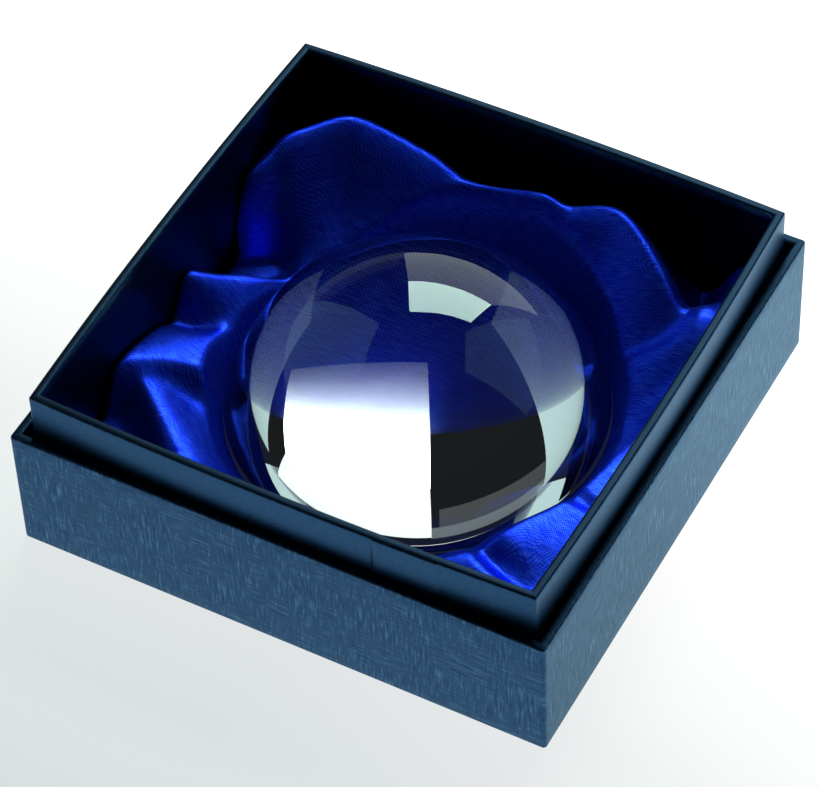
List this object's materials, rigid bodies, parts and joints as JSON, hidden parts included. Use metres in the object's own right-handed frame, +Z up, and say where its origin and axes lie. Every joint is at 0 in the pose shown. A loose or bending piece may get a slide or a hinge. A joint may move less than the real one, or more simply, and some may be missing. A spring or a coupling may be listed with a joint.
{
  "type": "crystal dome paperweight in a lined shoulder box",
  "caption": "Clear glass dome with a flat base, resting in loose satin inside an open square shoulder box with textured paper sides.",
  "frame": {"origin": "centre of the tray's underside, on the table", "axes": "+Z up; the box's sides lie along X and Y"},
  "size_m": [0.118, 0.118, 0.0434],
  "materials": {
    "textured_paper": "satin",
    "smooth_paper": "satin",
    "greyboard": "matte",
    "white_card": "matte",
    "stay_tape": "matte",
    "tack_tape": "matte",
    "foam": "matte",
    "satin": "satin",
    "crystal": "polished"
  },
  "bodies": {
    "tray": {"tray_base_sheet": "smooth_paper", "tray_board": "greyboard", "tray_corner_stays": "stay_tape", "tray_wrap": "textured_paper", "tray_floor_liner": "smooth_paper", "shoulder_board": "greyboard", "shoulder_joint_tape": "stay_tape", "shoulder_wrap": "smooth_paper"},
    "insert": {"insert_card": "white_card", "satin_tack_strips": "tack_tape", "foam_pad": "foam", "satin_lining": "satin"},
    "dome": {"glass_dome": "crystal"}
  },
  "joints": [
    {"name": "insert_lift", "type": "slide", "parent": "tray", "child": "insert", "axis": [0, 0, 1], "range_m": [0, 0.045]},
    {"name": "dome_lift", "type": "slide", "parent": "insert", "child": "dome", "axis": [0, 0, 1], "range_m": [0, 0.04]}
  ]
}
